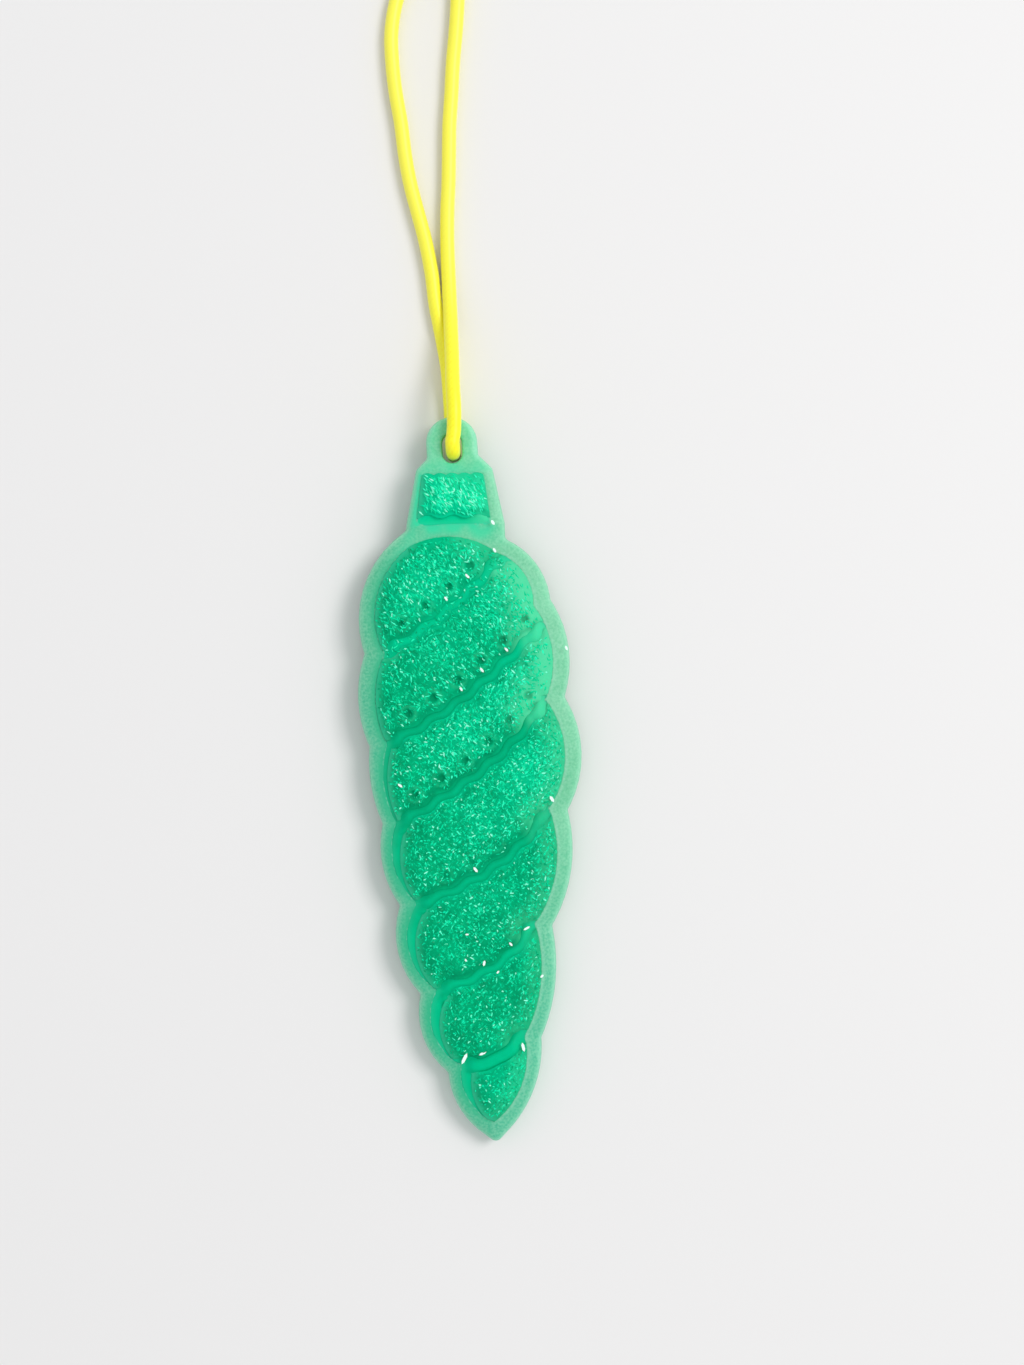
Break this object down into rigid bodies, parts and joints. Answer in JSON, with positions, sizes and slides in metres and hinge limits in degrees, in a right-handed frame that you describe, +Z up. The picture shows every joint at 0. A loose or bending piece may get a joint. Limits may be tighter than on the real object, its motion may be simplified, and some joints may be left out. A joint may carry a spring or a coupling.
{
  "type": "spiral ornament",
  "caption": "Flat cast resin spiral pendant: glitter turns between smooth wavy ribbons, a pale scalloped border, and a slotted tab on a yellow elastic hanging loop.",
  "frame": {"origin": "on the floor, under the centre of the pendant's bounding box without the cord", "axes": "+X to the right across the pendant's face, +Y from its tip towards the hanging loop, +Z up out of the face; the pendant lies face up and leans 1.33 degrees on the cord under its tab"},
  "size_m": [0.0303, 0.1863, 0.0077],
  "materials": {
    "border_resin": "frosted, translucent",
    "bed_resin": "smooth, translucent",
    "glitter_resin": "clear over fine glitter",
    "elastic_cord": "smooth braided elastic"
  },
  "bodies": {
    "pendant": {"border_plate": "border_resin", "spiral_bed": "bed_resin", "cap_bed": "bed_resin", "cap_cell": "glitter_resin", "spiral_turn_1": "glitter_resin", "spiral_turn_2": "glitter_resin", "spiral_turn_3": "glitter_resin", "spiral_turn_4": "glitter_resin", "spiral_turn_5": "glitter_resin", "spiral_turn_6": "glitter_resin", "spiral_turn_7": "glitter_resin"},
    "hanging_loop": {"cord_bight": "elastic_cord", "cord_front_strand": "elastic_cord", "cord_back_strand": "elastic_cord", "cord_knot": "elastic_cord", "cord_left_tail": "elastic_cord", "cord_right_tail": "elastic_cord"}
  },
  "joints": [
    {"name": "loop_swing", "type": "hinge", "parent": "pendant", "child": "hanging_loop", "pos_m": [0.00015, 0.04498, 0.004], "axis": [0, 0, 1], "range_deg": [-90, 90]}
  ]
}
